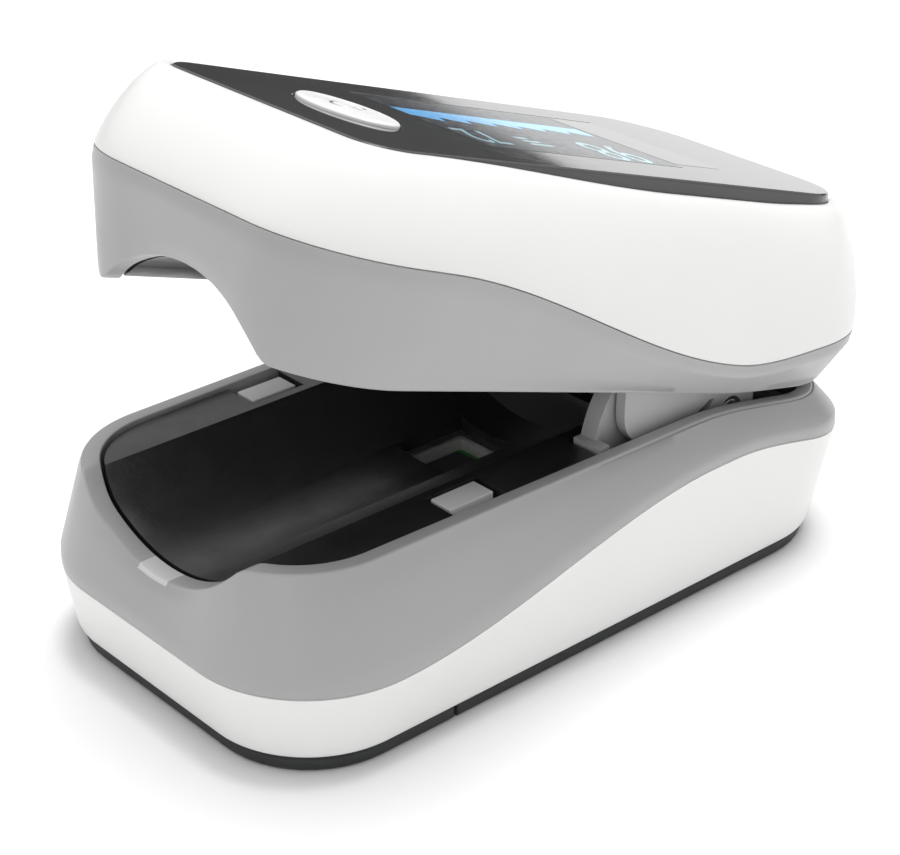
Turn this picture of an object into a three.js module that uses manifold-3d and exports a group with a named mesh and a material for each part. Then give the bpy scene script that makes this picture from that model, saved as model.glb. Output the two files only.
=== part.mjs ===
// Fingertip pulse oximeter: two hinged plastic jaws with silicone finger pads,
// a display and power button on the upper jaw, and a battery bay in the lower jaw.
// Units are millimetres. +Z is up, -Y is the end where the finger goes in, +Y is the hinge end.
// The object is drawn with its jaws open, as it stands when a finger is about to go in.
import * as THREE from "three";
import { mergeVertices } from "three/addons/utils/BufferGeometryUtils.js";
import Module from "manifold-3d";

const wasm = await Module();
wasm.setup();

// ---------------------------------------------------------------- driving dimensions

const GAP = 0.3; // clearance between neighbouring pieces

// Hinge: the axis runs along X. Both jaws are drawn closed, and the upper one is then swung open.
const HINGE_Y = 16.3;
const HINGE_Z = 13.66;
const OPEN_ANGLE = 18.3; // degrees

// Outlines seen from above. "half" is half the width, and the corners are radii.
const WAIST = { half: 17, front: -30.05, rear: 30.1, frontCorner: 9.85, rearCorner: 9 };
const LOWER_WAIST = { ...WAIST, rear: 30.35, rearCorner: 8.4 };
const LOWER_FOOT = { half: 16.05, front: -29.1, rear: 29.75, frontCorner: 8.4, rearCorner: 9.3 };
const RIM_OUTER = { half: 14.8, front: -28.6, rear: 29.2, frontCorner: 8.3, rearCorner: 8.2, flare: 0.0012 };
const RIM_INNER = { half: 13.66, front: -27.05, rear: 27.8, frontCorner: 6.9, rearCorner: 6.8, flare: 0.0017 };
const SHELL_WALL = 1.5;

// Heights of the closed object.
const FOOT_Z = 1.5; // underside of the white lower cover
const LOWER_RIM_Z = 15.24;
const UPPER_RIM_Z = LOWER_RIM_Z + GAP;
const PANEL_TOP_Z = 30.9;
const PANEL_THICKNESS = 1.3;

// The finger runs along Y, in a round tunnel that the two jaws form between them.
const FINGER_RADIUS = 12.5;
const TROUGH_BOTTOM_Z = 10.9;
const ARCH_TOP_Z = 19.5;
const PAD_WALL = 1.1;
const PAD_FRONT_Y = -27.4;
const PAD_STRIP_REAR_Y = 1.6; // the flat side strips end here, in front of the hinge
const PAD_REAR_Y = 8.4;
const PAD_LEDGE = 10.25; // half width of the open trough
const PAD_TOP_DROP = 0.3; // the pads lie this much behind the rim planes

// Two posts stand in notches of the lower pad, and a small insert sits in the rim's front lip.
const POST = { inner: 10.26, outer: 12.4, front: -11.8, rear: -7.68, top: 14.95 };
const NOTCH_REAR_Y = -7.15;
const INSERT = { half: 1.9, bottom: 10.55 };

// Optics: a light source above the finger and a sensor below it.
const OPTICS_Y = -0.3;
const WINDOW = { halfX: 3.0, halfY: 3.4 };

// Display panel, display and power button.
const PANEL = { half: 12.2, front: -25.1, rear: 26.9, frontCorner: 3.2, rearCorner: 6.3 };
const CROWN = { half: 12.95, front: -25.85, rear: 27.65, frontCorner: 3.95, rearCorner: 7.05 };
const DOME_POWER = 1.4; // 2 would round the white cover over in a quarter ellipse, 1 in a straight slope
const SCREEN = { halfX: 6.6, front: -10.8, rear: 11.2 };
const BUTTON = { y: -17.4, radiusX: 4.76, radiusY: 2.63, proud: 0.4, flange: 0.4 };

// Battery bay under the trough.
const BASE_THICKNESS = 1.2;
const BASE_INSET = 0.55;
const DOOR_FRONT_Y = -14;
const BAY = { half: 11.2, front: -20, rear: 20, roof: 8.0 };
const CELL = { x: 19, y: 33, z: 4.2 };

// Hinge parts.
const PIN_RADIUS = 0.9;
const PIN_HALF_LENGTH = 13.3;
const EAR = { inner: 10.65, outer: 12.15 };
const CHEEK = { inner: 12.45, outer: 13.35 };
const SPRING = { wire: 0.3, radius: 1.9, turns: 5, pitch: 0.78, innerX: 4.2 };
const SEAT = 0.05; // clearance between pieces that are fixed to each other

// The object stands on z = 0 with the middle of its length over the origin.
const CENTRE_Y = 1.31;

// ---------------------------------------------------------------- small helpers

const mix = (a, b, f) => a + (b - a) * f;
const clamp01 = (f) => Math.min(1, Math.max(0, f));
const smoothStep = (a, b, value) => {
  const f = clamp01((value - a) / (b - a));
  return f * f * (3 - 2 * f);
};

// Smooth minimum of two heights: the corner between them is rounded over about the blend width.
const softMin = (a, b, blend) => {
  const h = clamp01(0.5 + (b - a) / (2 * blend));
  return mix(b, a, h) - blend * h * (1 - h);
};
const softMax = (a, b, blend) => -softMin(-a, -b, blend);

// The white and grey bands of the lower jaw meet on a line that sweeps up toward the hinge.
const lowerSplit = (x, y) =>
  6.95 + 5.15 * smoothStep(-20, 11, y) - 2.6 * smoothStep(13, 30, y);

// The same line on the upper jaw dips toward the hinge and lifts again behind it.
const upperSplit = (x, y) =>
  24.5 - 5.9 * smoothStep(-23, 12, y) + 3 * smoothStep(11.5, 29.3, y);

// Bottom of the finger trough and top of the finger arch, across the width.
const circleDrop = (x) => FINGER_RADIUS - Math.sqrt(Math.max(0, FINGER_RADIUS ** 2 - x * x));
const troughHeight = (x, bottom = TROUGH_BOTTOM_Z) => bottom + circleDrop(x);
const archHeight = (x) => ARCH_TOP_Z - circleDrop(x);

// Mating edges: level beside the finger, cut by the finger tunnel at the front,
// and sloping apart behind the hinge so that the jaws can open.
const lowerRimTop = (x, y) => {
  const level = LOWER_RIM_Z - 0.2 * softMax(0, y - 13.2, 3);
  return y < 0 ? softMin(level, troughHeight(x), 0.5) : level;
};
const upperRimBottom = (x, y) => {
  const level = UPPER_RIM_Z + 0.09 * softMax(0, y - 14.5, 3);
  return y < 0 ? softMax(level, archHeight(x), 0.5) : level;
};

// ---------------------------------------------------------------- outlines and ring bodies

// Points of an outline, anticlockwise from the middle of the front edge.
function outlinePoints({ half, front, rear, frontCorner, rearCorner, flare = 0 }) {
  const right = [];
  const add = (x, y) => right.push(new THREE.Vector2(x * (1 + flare * y), y));
  const steps = { front: 9, corner: 12, side: 18, rear: 3 };
  for (let i = 0; i < steps.front; i++) {
    add(((half - frontCorner) * i) / steps.front, front);
  }
  for (let i = 0; i <= steps.corner; i++) {
    const turn = ((Math.PI / 2) * i) / steps.corner;
    add(half - frontCorner * (1 - Math.sin(turn)), front + frontCorner * (1 - Math.cos(turn)));
  }
  for (let i = 1; i < steps.side; i++) {
    add(half, mix(front + frontCorner, rear - rearCorner, i / steps.side));
  }
  for (let i = 0; i <= steps.corner; i++) {
    const turn = ((Math.PI / 2) * i) / steps.corner;
    add(half - rearCorner * (1 - Math.cos(turn)), rear - rearCorner * (1 - Math.sin(turn)));
  }
  for (let i = 1; i <= steps.rear; i++) {
    add((half - rearCorner) * (1 - i / steps.rear), rear);
  }
  const left = right
    .slice(1, -1)
    .reverse()
    .map((p) => new THREE.Vector2(-p.x, p.y));
  return [...right, ...left];
}

// An outline moved inward by a distance.
const inset = (outline, by) => ({
  ...outline,
  half: outline.half - by,
  front: outline.front + by,
  rear: outline.rear - by,
  frontCorner: Math.max(0.5, outline.frontCorner - by),
  rearCorner: Math.max(0.5, outline.rearCorner - by),
});

// One closed line round the jaw: an outline lifted to a height, or to a height that varies with x and y.
function level(outline, height) {
  const heightAt = typeof height === "function" ? height : () => height;
  return outlinePoints(outline).map((p) => new THREE.Vector3(p.x, p.y, heightAt(p.x, p.y)));
}

const between = (a, b, f) => a.map((point, i) => point.clone().lerp(b[i], f));

// A closed ring whose cross-section goes up its outside and down its inside, through the given levels.
function ringBody(levels) {
  const around = levels[0].length;
  const positions = levels.flat().flatMap((p) => [p.x, p.y, p.z]);
  const faces = [];
  for (let j = 0; j < levels.length; j++) {
    const next = (j + 1) % levels.length;
    for (let i = 0; i < around; i++) {
      const after = (i + 1) % around;
      const [a, b] = [j * around + i, j * around + after];
      const [c, d] = [next * around + after, next * around + i];
      faces.push(a, b, c, a, c, d);
    }
  }
  return new THREE.BufferGeometry()
    .setAttribute("position", new THREE.Float32BufferAttribute(positions, 3))
    .setIndex(faces);
}

// A flat plate with the given outline, from one height to another, with chamfered edges.
function plate(outline, bottom, top, chamfer = 0, holes = []) {
  const shape = new THREE.Shape(outlinePoints(inset(outline, chamfer)));
  shape.holes.push(...holes);
  return new THREE.ExtrudeGeometry(shape, {
    depth: top - bottom - 2 * chamfer,
    bevelEnabled: chamfer > 0,
    bevelThickness: chamfer,
    bevelSize: chamfer,
    bevelSegments: 1,
    curveSegments: 24,
  }).translate(0, 0, bottom + chamfer);
}

// A block that fills a range of x, y and z.
function block([x0, x1], [y0, y1], [z0, z1]) {
  return new THREE.BoxGeometry(x1 - x0, y1 - y0, z1 - z0).translate(
    (x0 + x1) / 2,
    (y0 + y1) / 2,
    (z0 + z1) / 2,
  );
}

// A block with rounded upright edges and a small chamfer round its faces.
function roundedBlock([x0, x1], [y0, y1], [z0, z1], radius, chamfer = 0.15) {
  const [w, d] = [(x1 - x0) / 2 - chamfer, (y1 - y0) / 2 - chamfer];
  const r = Math.min(radius, w, d);
  const shape = new THREE.Shape()
    .moveTo(-w + r, -d)
    .lineTo(w - r, -d)
    .absarc(w - r, -d + r, r, -Math.PI / 2, 0)
    .lineTo(w, d - r)
    .absarc(w - r, d - r, r, 0, Math.PI / 2)
    .lineTo(-w + r, d)
    .absarc(-w + r, d - r, r, Math.PI / 2, Math.PI)
    .lineTo(-w, -d + r)
    .absarc(-w + r, -d + r, r, Math.PI, Math.PI * 1.5);
  return new THREE.ExtrudeGeometry(shape, {
    depth: z1 - z0 - 2 * chamfer,
    bevelThickness: chamfer,
    bevelSize: chamfer,
    bevelSegments: 1,
    curveSegments: 4,
  }).translate((x0 + x1) / 2, (y0 + y1) / 2, z0 + chamfer);
}

// A shape drawn with y to the right and z up, extruded along x between two positions.
function sideExtrusion(shape, x0, x1) {
  const turn = new THREE.Matrix4().makeBasis(
    new THREE.Vector3(0, 1, 0),
    new THREE.Vector3(0, 0, 1),
    new THREE.Vector3(1, 0, 0),
  );
  return new THREE.ExtrudeGeometry(shape, { depth: x1 - x0, bevelEnabled: false, curveSegments: 16 })
    .applyMatrix4(turn)
    .translate(x0, 0, 0);
}

// A shape drawn with x to the right and z up, extruded along y between two positions.
function lengthExtrusion(shape, y0, y1) {
  return new THREE.ExtrudeGeometry(shape, { depth: y1 - y0, bevelEnabled: false })
    .rotateX(Math.PI / 2)
    .translate(0, y1, 0);
}

// A cylinder along x, centred on the hinge axis.
const hingeCylinder = (radius, x0, x1) =>
  new THREE.CylinderGeometry(radius, radius, x1 - x0, 24)
    .rotateZ(Math.PI / 2)
    .translate((x0 + x1) / 2, HINGE_Y, HINGE_Z);

// A distance range on the right side of the object (side 1) or mirrored to the left side (side -1).
const onSide = (side, inner, outer) => (side > 0 ? [inner, outer] : [-outer, -inner]);
const SIDES = [-1, 1];

// ---------------------------------------------------------------- joining and cutting

function toSolid(geometry) {
  const bare = geometry.clone();
  bare.deleteAttribute("normal");
  bare.deleteAttribute("uv");
  const merged = mergeVertices(bare, 1e-4);
  const vertProperties = new Float32Array(merged.attributes.position.array);
  const triVerts = new Uint32Array(merged.index.array);
  return new wasm.Manifold(new wasm.Mesh({ numProp: 3, vertProperties, triVerts }));
}

function fromSolid(solid) {
  const mesh = solid.getMesh();
  return new THREE.BufferGeometry()
    .setAttribute("position", new THREE.BufferAttribute(new Float32Array(mesh.vertProperties), 3))
    .setIndex(new THREE.BufferAttribute(new Uint32Array(mesh.triVerts), 1));
}

const join = (...pieces) => fromSolid(pieces.map(toSolid).reduce((a, b) => a.add(b)));
const cut = (body, ...tools) => fromSolid(tools.map(toSolid).reduce((a, b) => a.subtract(b), toSolid(body)));
const overlap = (a, b) => fromSolid(toSolid(a).intersect(toSolid(b)));

// ---------------------------------------------------------------- lower jaw shells

// White cover: a tray with a floor flange round the battery bay.
function lowerCover() {
  const top = (x, y) => lowerSplit(x, y) - GAP / 2;
  const bay = { half: 12, front: -21.5, rear: 21.5, frontCorner: 2, rearCorner: 2 };
  return ringBody([
    level(inset(LOWER_FOOT, 0.3), FOOT_Z),
    level(LOWER_FOOT, FOOT_Z + 0.3),
    level(LOWER_WAIST, top),
    level(inset(LOWER_WAIST, SHELL_WALL), top),
    level(inset(LOWER_FOOT, SHELL_WALL), FOOT_Z + 1.3),
    level(bay, FOOT_Z + 1.3),
    level(bay, FOOT_Z),
  ]);
}

// Grey rim: stands on the white cover, leans inward and ends in the mating edge.
function lowerRim() {
  const foot = level(LOWER_WAIST, (x, y) => lowerSplit(x, y) + GAP / 2);
  const edge = level(RIM_OUTER, lowerRimTop);
  const footInner = { ...RIM_INNER, half: 14.2, front: -27.4, rear: 28.1 };
  return ringBody([
    level(inset(LOWER_WAIST, 0.4), (x, y) => lowerSplit(x, y) + GAP / 2),
    between(foot, edge, 0.07),
    between(foot, edge, 0.5),
    between(foot, edge, 0.96),
    level(inset(RIM_OUTER, 0.3), lowerRimTop),
    level(RIM_INNER, lowerRimTop),
    level(footInner, (x, y) => lowerSplit(x, y) + GAP / 2),
  ]);
}

// Dark base: a fixed front plate and a battery door behind it.
const baseOutline = inset(LOWER_FOOT, BASE_INSET);
const ahead = (y) => block([-20, 20], [-40, y], [-2, 4]);

function basePlate() {
  const front = ahead(DOOR_FRONT_Y - GAP / 2);
  return overlap(plate(baseOutline, 0, BASE_THICKNESS, 0.25), front);
}

function batteryDoor() {
  const ridges = [0, 1, 2, 3].map((i) => block([-5, 5], [20 + i * 1.6, 20.8 + i * 1.6], [-1, 0.35]));
  return cut(plate(baseOutline, 0, BASE_THICKNESS, 0.25), ahead(DOOR_FRONT_Y + GAP / 2), ...ridges);
}

// Chassis: a battery bay that opens downward, with two posts that stand up beside the pad.
function chassis() {
  const bay = block([-BAY.half, BAY.half], [BAY.front, BAY.rear], [1.9, BAY.roof]);
  const hollow = block([1 - BAY.half, BAY.half - 1], [BAY.front + 1, BAY.rear - 1], [0, BAY.roof - 0.8]);
  const posts = SIDES.map((side) =>
    block(onSide(side, POST.inner, POST.outer), [POST.front, POST.rear], [BAY.roof - 1, POST.top]),
  );
  return cut(join(bay, ...posts), hollow);
}

const batteryCell = () =>
  roundedBlock([-CELL.x / 2, CELL.x / 2], [-CELL.y / 2, CELL.y / 2], [2.6, 2.6 + CELL.z], 1.6, 0.6);

// ---------------------------------------------------------------- finger pads

// Cross-section of a pad: flat ledges beside a round trough, all of one thickness.
function padSection(halfWidth, ledgeZ, troughBottom) {
  const steps = 20;
  const surface = [[-halfWidth, ledgeZ]];
  for (let i = 0; i <= steps; i++) {
    const x = mix(-PAD_LEDGE, PAD_LEDGE, i / steps);
    surface.push([x, Math.min(ledgeZ, troughHeight(x, troughBottom))]);
  }
  surface.push([halfWidth, ledgeZ]);
  const underside = surface.map(([x, z]) => [x, z - PAD_WALL]).reverse();
  return new THREE.Shape([...surface, ...underside].map(([x, z]) => new THREE.Vector2(x, z)));
}

// One silicone pad, drawn as the lower one. A stop for the fingertip closes its rear end.
function fingerPad(troughBottom, extraCuts = []) {
  const ledgeZ = LOWER_RIM_Z - PAD_TOP_DROP;
  const section = padSection(16, ledgeZ, troughBottom);
  const body = lengthExtrusion(section, PAD_FRONT_Y, PAD_REAR_Y);
  const stop = block([-9.2, 9.2], [PAD_REAR_Y - 1.3, PAD_REAR_Y], [troughBottom - 0.6, ledgeZ]);
  const hingeSpaces = SIDES.map((side) =>
    block(onSide(side, PAD_LEDGE + 0.05, 20), [PAD_STRIP_REAR_Y, 30], [0, 40]),
  );
  const window = block(
    [-WINDOW.halfX, WINDOW.halfX],
    [OPTICS_Y - WINDOW.halfY, OPTICS_Y + WINDOW.halfY],
    [5, 13],
  );
  const inside = plate({ ...inset(RIM_INNER, GAP), rear: 20 }, 5, 20);
  return overlap(cut(join(body, stop), window, ...hingeSpaces, ...extraCuts), inside);
}

// The lower pad is notched for the two posts.
function lowerPad() {
  const notches = SIDES.map((side) =>
    block(onSide(side, POST.inner - GAP, 20), [POST.front - GAP, NOTCH_REAR_Y], [5, 20]),
  );
  return fingerPad(TROUGH_BOTTOM_Z, notches);
}

// A geometry turned upside down about the plane halfway between the two mating planes.
function upsideDown(geometry) {
  const flipped = geometry.clone().scale(1, 1, -1).translate(0, 0, LOWER_RIM_Z + UPPER_RIM_Z);
  const index = flipped.index.array;
  for (let i = 0; i < index.length; i += 3) {
    [index[i], index[i + 1]] = [index[i + 1], index[i]];
  }
  return flipped;
}

const upperPad = () => upsideDown(fingerPad(LOWER_RIM_Z + UPPER_RIM_Z - ARCH_TOP_Z));

// ---------------------------------------------------------------- optics

const opticsBlock = (halfX, halfY, z0, z1, radius = 0.3) =>
  roundedBlock([-halfX, halfX], [OPTICS_Y - halfY, OPTICS_Y + halfY], [z0, z1], radius, 0.08);

const sensorBoard = () => opticsBlock(4.2, 4.4, BAY.roof + SEAT, BAY.roof + 0.75);
const photodiode = () => opticsBlock(1.5, 1.7, BAY.roof + 0.8, BAY.roof + 1.5);
const sensorWindow = () => opticsBlock(WINDOW.halfX - 0.2, WINDOW.halfY - 0.2, 9.75, 10.3);

const ledWindow = () => opticsBlock(WINDOW.halfX - 0.2, WINDOW.halfY - 0.2, 20.1, 20.65);
const ledEmitter = () =>
  join(
    block([-1.4, 1.4], [OPTICS_Y - 1.7, OPTICS_Y + 1.7], [20.8, 21.7]),
    block([-3.4, 3.4], [OPTICS_Y - 3.6, OPTICS_Y + 3.6], [21.6, 22.3]),
  );

// ---------------------------------------------------------------- hinge

// Bracket of the lower jaw: two ears that carry the pin, small ledges level with the rim, and a cross-bar.
function lowerBracket() {
  const profile = new THREE.Shape()
    .moveTo(1.95, 8.6)
    .lineTo(24, 8.6)
    .lineTo(24, 10)
    .lineTo(20.4, 10.6)
    .lineTo(20.4, 13.7)
    .quadraticCurveTo(20, 17, 16.3, 19.6)
    .quadraticCurveTo(12.5, 21.2, 8, 20.8)
    .quadraticCurveTo(3.9, 20, 2.7, 15.24)
    .lineTo(1.95, 15.24);
  const ears = SIDES.map((side) => sideExtrusion(profile, ...onSide(side, EAR.inner, EAR.outer)));
  const ledges = SIDES.map((side) =>
    block(onSide(side, EAR.outer - 0.5, CHEEK.outer), [1.95, 3], [13.8, LOWER_RIM_Z]),
  );
  const crossBar = block([-EAR.outer, EAR.outer], [16.5, 24], [8.6, 10]);
  const bore = hingeCylinder(PIN_RADIUS + SEAT, -15, 15);
  return cut(join(...ears, ...ledges, crossBar), bore);
}

// Bracket of the upper jaw: two cheeks outside the ears, joined by a cross-bar behind the pin.
function upperBracket() {
  const profile = new THREE.Shape()
    .moveTo(1.6, 21.3)
    .lineTo(2.6, 17.8)
    .lineTo(4.0, 13.2)
    .quadraticCurveTo(4.7, 11.3, 6.6, 11.2)
    .quadraticCurveTo(10.4, 11.3, 13.4, 14.5)
    .lineTo(24, 17)
    .lineTo(24, 19.5)
    .lineTo(20, 21.3);
  const cheeks = SIDES.flatMap((side) => {
    const range = onSide(side, CHEEK.inner, CHEEK.outer);
    return [sideExtrusion(profile, ...range), hingeCylinder(2.6, ...range)];
  });
  const crossBar = block([-CHEEK.outer, CHEEK.outer], [21, 24], [17, 19.4]);
  const bore = hingeCylinder(PIN_RADIUS + GAP, -15, 15);
  return cut(join(...cheeks, crossBar), bore);
}

const hingePin = () => hingeCylinder(PIN_RADIUS, -PIN_HALF_LENGTH, PIN_HALF_LENGTH);

// Torsion spring round the pin. Both legs point to the rear and push the jaws apart behind the hinge.
function torsionSpring(side) {
  const { radius, turns, pitch, innerX, wire } = SPRING;
  const stepsPerTurn = 14;
  const startAngle = -Math.PI / 2;
  const total = turns + 0.5;
  const points = [new THREE.Vector3(innerX, 23.2, 10.6), new THREE.Vector3(innerX, 19.8, 11.1)];
  for (let i = 0; i <= total * stepsPerTurn; i++) {
    const turn = startAngle - (2 * Math.PI * i) / stepsPerTurn;
    const x = innerX + (pitch * i) / stepsPerTurn;
    points.push(
      new THREE.Vector3(x, HINGE_Y + radius * Math.cos(turn), HINGE_Z + radius * Math.sin(turn)),
    );
  }
  const outerX = innerX + pitch * total;
  points.push(new THREE.Vector3(outerX, 20, 14.85), new THREE.Vector3(outerX, 23.4, 14.15));
  const path = new THREE.CatmullRomCurve3(points.map((p) => p.setX(side * p.x)));
  const section = new THREE.Shape();
  for (let i = 0; i < 6; i++) {
    const turn = (Math.PI * i) / 3;
    section[i ? "lineTo" : "moveTo"](wire * Math.cos(turn), wire * Math.sin(turn));
  }
  return new THREE.ExtrudeGeometry(section, { steps: 100, extrudePath: path });
}

// ---------------------------------------------------------------- upper jaw (drawn closed)

// Grey rim: hangs under the white cover and ends in the mating edge, with the finger arch in front.
function upperRim() {
  const edge = level(RIM_OUTER, upperRimBottom);
  const head = level(WAIST, (x, y) => upperSplit(x, y) - GAP / 2);
  const headInner = { ...RIM_INNER, half: 14.2, front: -27.4, rear: 28.1 };
  return ringBody([
    level(inset(RIM_OUTER, 0.3), upperRimBottom),
    between(edge, head, 0.04),
    between(edge, head, 0.5),
    between(edge, head, 0.93),
    level(inset(WAIST, 0.4), (x, y) => upperSplit(x, y) - GAP / 2),
    level(headInner, (x, y) => upperSplit(x, y) - GAP / 2),
    level(RIM_INNER, upperRimBottom),
  ]);
}

// White cover: rises from the split line, domes over and frames the display panel.
// Its lip is flush with the panel at the front and dips along the sides, where the panel's edge shows.
function upperCover() {
  const dip = (y) => smoothStep(-22, 4, y) * (1 - 0.45 * smoothStep(14, 27, y));
  const lipTop = (x, y) => PANEL_TOP_Z - 0.08 - 0.95 * dip(y);
  const ledge = PANEL_TOP_Z - PANEL_THICKNESS - GAP;
  const foot = level(WAIST, (x, y) => upperSplit(x, y) + GAP / 2);
  const top = level(CROWN, lipTop);
  const shoulder = (turn) => {
    const inward = 1 - Math.cos(turn) ** (2 / DOME_POWER);
    const upward = Math.sin(turn) ** (2 / DOME_POWER);
    return foot.map((p, i) => new THREE.Vector3(
      mix(p.x, top[i].x, inward),
      mix(p.y, top[i].y, inward),
      mix(p.z, top[i].z, upward),
    ));
  };
  const recess = inset(CROWN, 0.45);
  const opening = { half: 10.8, front: -22.9, rear: 24, frontCorner: 3, rearCorner: 5 };
  const underLedge = { half: 13.2, front: -23.6, rear: 26, frontCorner: 5, rearCorner: 7 };
  return ringBody([
    foot,
    ...[0.3, 0.55, 0.8, 1.05, 1.3].map(shoulder),
    top,
    level(recess, lipTop),
    level(recess, ledge),
    level(opening, ledge),
    level(opening, ledge - 1.1),
    level(underLedge, ledge - 1.1),
    level(inset(WAIST, SHELL_WALL), (x, y) => upperSplit(x, y) + GAP / 2),
  ]);
}

// Dark glossy panel with an oval hole for the button.
function topPanel() {
  const hole = new THREE.Path().absellipse(
    0, BUTTON.y, BUTTON.radiusX + GAP + 0.15, BUTTON.radiusY + GAP + 0.15, 0, 2 * Math.PI, true, 0,
  );
  return plate(PANEL, PANEL_TOP_Z - PANEL_THICKNESS, PANEL_TOP_Z, 0.15, [hole]);
}

const displayModule = () =>
  roundedBlock(
    [-SCREEN.halfX - 1.6, SCREEN.halfX + 1.6],
    [SCREEN.front - 1.4, SCREEN.rear + 2.6],
    [27.45, PANEL_TOP_Z - PANEL_THICKNESS - 0.15],
    0.6,
  );

function mainBoard() {
  const outline = { half: 12.6, front: -22.8, rear: 24.5, frontCorner: 5, rearCorner: 7 };
  return plate(outline, 26.4, 27.4);
}

// Push switch under the button: a square can with a round actuator.
const tactSwitch = () =>
  join(
    block([-2.3, 2.3], [BUTTON.y - 2.3, BUTTON.y + 2.3], [27.45, 28.05]),
    new THREE.CylinderGeometry(1.2, 1.2, 0.5, 20).rotateX(Math.PI / 2).translate(0, BUTTON.y, 28.1),
  );

// Oval button cap with a flange that keeps it under the panel.
function powerButton() {
  const top = PANEL_TOP_Z + BUTTON.proud;
  const flangeTop = PANEL_TOP_Z - PANEL_THICKNESS - GAP;
  const profile = [
    [0, flangeTop - BUTTON.flange],
    [BUTTON.radiusX + 0.9, flangeTop - BUTTON.flange],
    [BUTTON.radiusX + 0.9, flangeTop],
    [BUTTON.radiusX, flangeTop],
    [BUTTON.radiusX, top - 0.4],
    [BUTTON.radiusX - 0.18, top - 0.15],
    [BUTTON.radiusX - 0.6, top],
    [BUTTON.radiusX - 1.4, top + 0.04],
    [0, top + 0.08],
  ].map(([r, z]) => new THREE.Vector2(r, z));
  return new THREE.LatheGeometry(profile, 36)
    .rotateX(Math.PI / 2)
    .scale(1, BUTTON.radiusY / BUTTON.radiusX, 1)
    .translate(0, BUTTON.y, 0);
}

// ---------------------------------------------------------------- front insert

// A thin insert flush with the rim's front lip, and the pocket that it sits in.
const lipBlock = (clearance) =>
  block(
    [-INSERT.half - clearance, INSERT.half + clearance],
    [-40, -20],
    [INSERT.bottom - clearance, 20],
  );
const lowerRimWithPocket = () => cut(lowerRim(), lipBlock(SEAT));
const frontInsert = () => overlap(lowerRim(), lipBlock(0));

// ---------------------------------------------------------------- assembly

const MATERIALS = {
  white: { color: 0xf1f1ef, roughness: 0.35 },
  grey: { color: 0xa9aaab, roughness: 0.45 },
  lightGrey: { color: 0xc4c5c6, roughness: 0.5 },
  darkBase: { color: 0x2a2b2d, roughness: 0.6 },
  silicone: { color: 0x141415, roughness: 0.55 },
  panel: { color: 0x2e2f31, roughness: 0.12 },
  button: { color: 0xf4f4f3, roughness: 0.3 },
  clear: { color: 0x8c9296, roughness: 0.1, transparent: true, opacity: 0.5 },
  board: { color: 0x1f6a2c, roughness: 0.55 },
  chip: { color: 0x1b1c22, roughness: 0.3 },
  glass: { color: 0x0c1118, roughness: 0.15 },
  cell: { color: 0x9aa2ab, roughness: 0.35, metalness: 0.6 },
  steel: { color: 0xb9bcc0, roughness: 0.3, metalness: 1 },
};

function piece(name, geometry, material) {
  geometry.computeVertexNormals();
  const mesh = new THREE.Mesh(geometry, new THREE.MeshStandardMaterial(MATERIALS[material]));
  mesh.name = name;
  return mesh;
}

const lowerJaw = new THREE.Group().add(
  piece("lower_cover", lowerCover(), "white"),
  piece("lower_rim", lowerRimWithPocket(), "grey"),
  piece("front_insert", frontInsert(), "lightGrey"),
  piece("base_plate", basePlate(), "darkBase"),
  piece("chassis", chassis(), "lightGrey"),
  piece("battery_cell", batteryCell(), "cell"),
  piece("lower_pad", lowerPad(), "silicone"),
  piece("sensor_window", sensorWindow(), "clear"),
  piece("photodiode", photodiode(), "chip"),
  piece("sensor_board", sensorBoard(), "board"),
  piece("lower_bracket", lowerBracket(), "lightGrey"),
  piece("hinge_pin", hingePin(), "steel"),
  piece("spring_left", torsionSpring(-1), "steel"),
  piece("spring_right", torsionSpring(1), "steel"),
);

const upperPieces = new THREE.Group().add(
  piece("upper_cover", upperCover(), "white"),
  piece("upper_rim", upperRim(), "grey"),
  piece("upper_bracket", upperBracket(), "lightGrey"),
  piece("upper_pad", upperPad(), "silicone"),
  piece("led_window", ledWindow(), "clear"),
  piece("led_emitter", ledEmitter(), "board"),
  piece("main_board", mainBoard(), "board"),
  piece("display_module", displayModule(), "glass"),
  piece("tact_switch", tactSwitch(), "steel"),
  piece("top_panel", topPanel(), "panel"),
  piece("power_button", powerButton(), "button"),
);
upperPieces.position.set(0, -HINGE_Y, -HINGE_Z);

const upperJaw = new THREE.Group().add(upperPieces);
upperJaw.position.set(0, HINGE_Y, HINGE_Z);
upperJaw.rotation.x = THREE.MathUtils.degToRad(-OPEN_ANGLE);

const oximeter = new THREE.Group().add(
  lowerJaw,
  upperJaw,
  piece("battery_door", batteryDoor(), "darkBase"),
);
oximeter.position.y = -CENTRE_Y;

export default oximeter;
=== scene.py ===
"""Looks of a fingertip pulse oximeter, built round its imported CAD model.

Shapes are drawn in millimetres with the jaws closed, in the same way as the CAD part.
The matrices in PLACES then put them in the row frame, in metres, with the upper jaw swung open.
"""
import math

import bmesh
import bpy
from mathutils import Matrix, Vector
from mathutils.geometry import tessellate_polygon


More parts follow.
